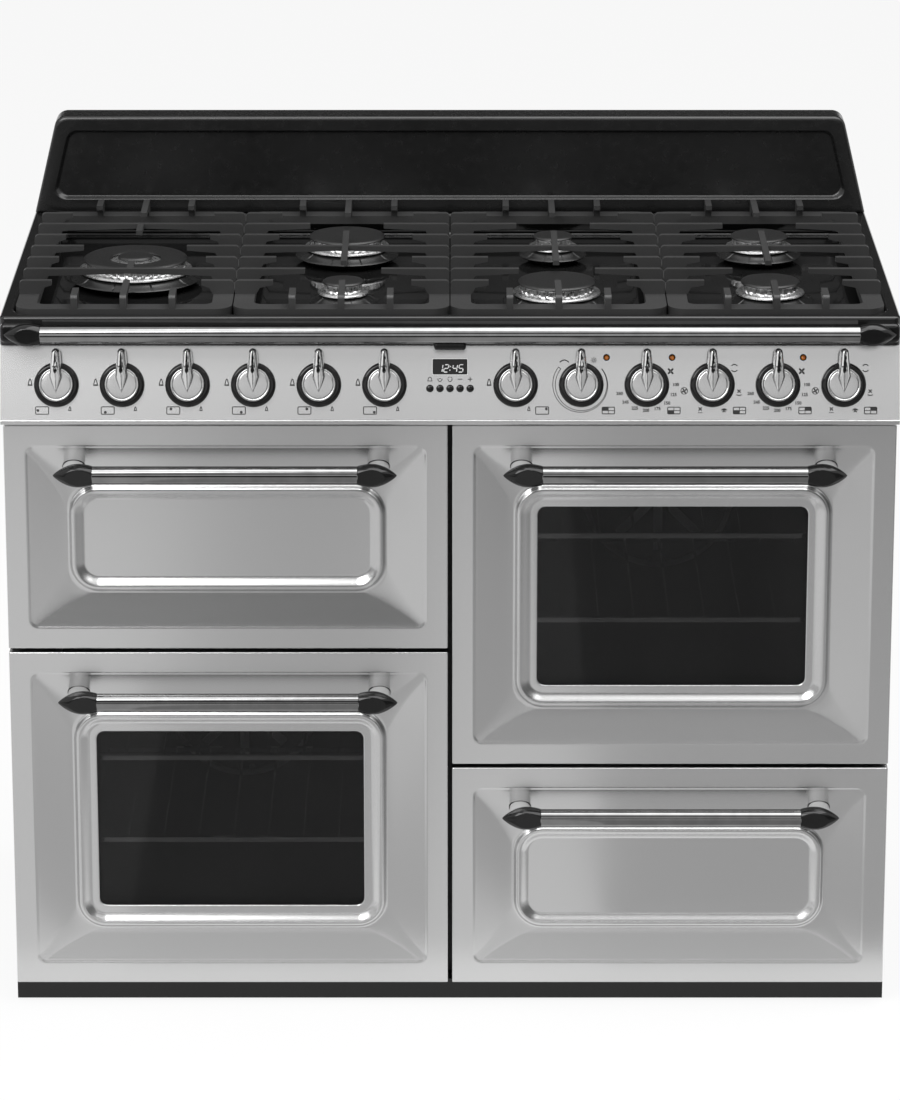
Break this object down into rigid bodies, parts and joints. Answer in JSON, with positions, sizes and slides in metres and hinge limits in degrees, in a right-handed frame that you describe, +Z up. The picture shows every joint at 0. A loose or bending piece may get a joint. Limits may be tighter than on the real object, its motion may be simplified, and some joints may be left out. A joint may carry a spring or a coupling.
{
  "type": "dual fuel range cooker",
  "caption": "Wide free-standing cooker with a gas hob, cast pan stands, a grill, electric ovens behind glazed doors, a storage drawer and a sloped panel of lever knobs.",
  "frame": {"origin": "on the floor under the middle of the cooker's box, handles included", "axes": "+X along the width to the right, +Y to the wall behind, +Z up"},
  "size_m": [1.1, 0.65, 1.03],
  "materials": {
    "brushed_steel": "brushed along the width",
    "chrome": "polished",
    "black_enamel": "high gloss enamel",
    "inner_enamel": "speckled dark enamel",
    "cap_enamel": "matt enamel",
    "black_gloss": "glossy black",
    "cast_iron": "matt enamelled casting",
    "aluminium": "bright",
    "dark_glass": "dark tinted",
    "lens": "glossy lens",
    "brass": "machined",
    "zinc_steel": "zinc plated"
  },
  "bodies": {
    "body": {"plinth": "black_gloss", "feet": "zinc_steel", "side_panels": "inner_enamel", "chassis": "zinc_steel", "grill_cavity": "inner_enamel", "left_oven_cavity": "inner_enamel", "right_oven_cavity": "inner_enamel", "hob_top": "black_enamel", "splashback": "black_enamel", "rail_bar": "chrome", "rail_ends": "black_gloss", "control_panel": "brushed_steel", "knob_bezels": "black_gloss", "panel_lights": "lens", "burner_bases": "black_enamel", "burner_heads": "aluminium", "burner_caps": "cap_enamel", "taps_and_switches": "brass", "racks_and_grill_pan": "chrome", "heaters_and_fans": "zinc_steel", "hinges_and_runners": "zinc_steel"},
    "grill_door": {"grill_door_skin": "brushed_steel", "grill_door_liner": "inner_enamel", "grill_door_handle_bar": "chrome", "grill_door_handle_ends": "black_gloss"},
    "left_oven_door": {"left_oven_door_skin": "brushed_steel", "left_oven_door_liner": "inner_enamel", "left_oven_door_glass": "dark_glass", "left_oven_door_handle_bar": "chrome", "left_oven_door_handle_ends": "black_gloss"},
    "right_oven_door": {"right_oven_door_skin": "brushed_steel", "right_oven_door_liner": "inner_enamel", "right_oven_door_glass": "dark_glass", "right_oven_door_handle_bar": "chrome", "right_oven_door_handle_ends": "black_gloss"},
    "drawer": {"drawer_front": "brushed_steel", "drawer_tub": "inner_enamel", "drawer_handle_bar": "chrome", "drawer_handle_ends": "black_gloss"},
    "knob_01": {"knob_01": "chrome"},
    "knob_02": {"knob_02": "chrome"},
    "knob_03": {"knob_03": "chrome"},
    "knob_04": {"knob_04": "chrome"},
    "knob_05": {"knob_05": "chrome"},
    "knob_06": {"knob_06": "chrome"},
    "knob_07": {"knob_07": "chrome"},
    "knob_08": {"knob_08": "chrome"},
    "knob_09": {"knob_09": "chrome"},
    "knob_10": {"knob_10": "chrome"},
    "knob_11": {"knob_11": "chrome"},
    "knob_12": {"knob_12": "chrome"},
    "timer_button_1": {"timer_button_1": "black_gloss"},
    "timer_button_2": {"timer_button_2": "black_gloss"},
    "timer_button_3": {"timer_button_3": "black_gloss"},
    "timer_button_4": {"timer_button_4": "black_gloss"},
    "timer_button_5": {"timer_button_5": "black_gloss"},
    "pan_stand_1": {"pan_stand_1": "cast_iron"},
    "pan_stand_2": {"pan_stand_2": "cast_iron"},
    "pan_stand_3": {"pan_stand_3": "cast_iron"},
    "pan_stand_4": {"pan_stand_4": "cast_iron"}
  },
  "joints": [
    {"name": "knob_01_turn", "type": "hinge", "parent": "body", "child": "knob_01", "pos_m": [-0.4812, -0.27765, 0.81517], "axis": [0, -0.9578, 0.2873], "range_deg": [0, 210]},
    {"name": "knob_02_turn", "type": "hinge", "parent": "body", "child": "knob_02", "pos_m": [-0.401, -0.27765, 0.81517], "axis": [0, -0.9578, 0.2873], "range_deg": [0, 210]},
    {"name": "knob_03_turn", "type": "hinge", "parent": "body", "child": "knob_03", "pos_m": [-0.3208, -0.27765, 0.81517], "axis": [0, -0.9578, 0.2873], "range_deg": [0, 210]},
    {"name": "knob_04_turn", "type": "hinge", "parent": "body", "child": "knob_04", "pos_m": [-0.2406, -0.27765, 0.81517], "axis": [0, -0.9578, 0.2873], "range_deg": [0, 210]},
    {"name": "knob_05_turn", "type": "hinge", "parent": "body", "child": "knob_05", "pos_m": [-0.1604, -0.27765, 0.81517], "axis": [0, -0.9578, 0.2873], "range_deg": [0, 210]},
    {"name": "knob_06_turn", "type": "hinge", "parent": "body", "child": "knob_06", "pos_m": [-0.0802, -0.27765, 0.81517], "axis": [0, -0.9578, 0.2873], "range_deg": [0, 210]},
    {"name": "knob_07_turn", "type": "hinge", "parent": "body", "child": "knob_07", "pos_m": [0.0802, -0.27765, 0.81517], "axis": [0, -0.9578, 0.2873], "range_deg": [0, 210]},
    {"name": "knob_08_turn", "type": "hinge", "parent": "body", "child": "knob_08", "pos_m": [0.1604, -0.27765, 0.81517], "axis": [0, -0.9578, 0.2873], "range_deg": [-300, 0]},
    {"name": "knob_09_turn", "type": "hinge", "parent": "body", "child": "knob_09", "pos_m": [0.2406, -0.27765, 0.81517], "axis": [0, -0.9578, 0.2873], "range_deg": [-245, 0]},
    {"name": "knob_10_turn", "type": "hinge", "parent": "body", "child": "knob_10", "pos_m": [0.3208, -0.27765, 0.81517], "axis": [0, -0.9578, 0.2873], "continuous": true},
    {"name": "knob_11_turn", "type": "hinge", "parent": "body", "child": "knob_11", "pos_m": [0.401, -0.27765, 0.81517], "axis": [0, -0.9578, 0.2873], "range_deg": [-245, 0]},
    {"name": "knob_12_turn", "type": "hinge", "parent": "body", "child": "knob_12", "pos_m": [0.4812, -0.27765, 0.81517], "axis": [0, -0.9578, 0.2873], "continuous": true},
    {"name": "timer_button_1_press", "type": "slide", "parent": "body", "child": "timer_button_1", "axis": [0, 0.9578, -0.2873], "range_m": [0, 0.002], "stiffness_N_per_m": 300, "springref_m": -0.001},
    {"name": "timer_button_2_press", "type": "slide", "parent": "body", "child": "timer_button_2", "axis": [0, 0.9578, -0.2873], "range_m": [0, 0.002], "stiffness_N_per_m": 300, "springref_m": -0.001},
    {"name": "timer_button_3_press", "type": "slide", "parent": "body", "child": "timer_button_3", "axis": [0, 0.9578, -0.2873], "range_m": [0, 0.002], "stiffness_N_per_m": 300, "springref_m": -0.001},
    {"name": "timer_button_4_press", "type": "slide", "parent": "body", "child": "timer_button_4", "axis": [0, 0.9578, -0.2873], "range_m": [0, 0.002], "stiffness_N_per_m": 300, "springref_m": -0.001},
    {"name": "timer_button_5_press", "type": "slide", "parent": "body", "child": "timer_button_5", "axis": [0, 0.9578, -0.2873], "range_m": [0, 0.002], "stiffness_N_per_m": 300, "springref_m": -0.001},
    {"name": "grill_door_drop", "type": "hinge", "parent": "body", "child": "grill_door", "pos_m": [-0.2755, -0.267, 0.483], "axis": [1, 0, 0], "range_deg": [0, 90]},
    {"name": "left_oven_door_swing", "type": "hinge", "parent": "body", "child": "left_oven_door", "pos_m": [-0.5405, -0.267, 0.25], "axis": [0, 0, -1], "range_deg": [0, 90]},
    {"name": "right_oven_door_swing", "type": "hinge", "parent": "body", "child": "right_oven_door", "pos_m": [0.5405, -0.267, 0.543], "axis": [0, 0, 1], "range_deg": [0, 90]},
    {"name": "drawer_slide", "type": "slide", "parent": "body", "child": "drawer", "axis": [0, -1, 0], "range_m": [0, 0.4]},
    {"name": "pan_stand_1_lift", "type": "slide", "parent": "body", "child": "pan_stand_1", "axis": [0, 0, 1], "range_m": [0, 0.12]},
    {"name": "pan_stand_2_lift", "type": "slide", "parent": "body", "child": "pan_stand_2", "axis": [0, 0, 1], "range_m": [0, 0.12]},
    {"name": "pan_stand_3_lift", "type": "slide", "parent": "body", "child": "pan_stand_3", "axis": [0, 0, 1], "range_m": [0, 0.12]},
    {"name": "pan_stand_4_lift", "type": "slide", "parent": "body", "child": "pan_stand_4", "axis": [0, 0, 1], "range_m": [0, 0.12]}
  ]
}
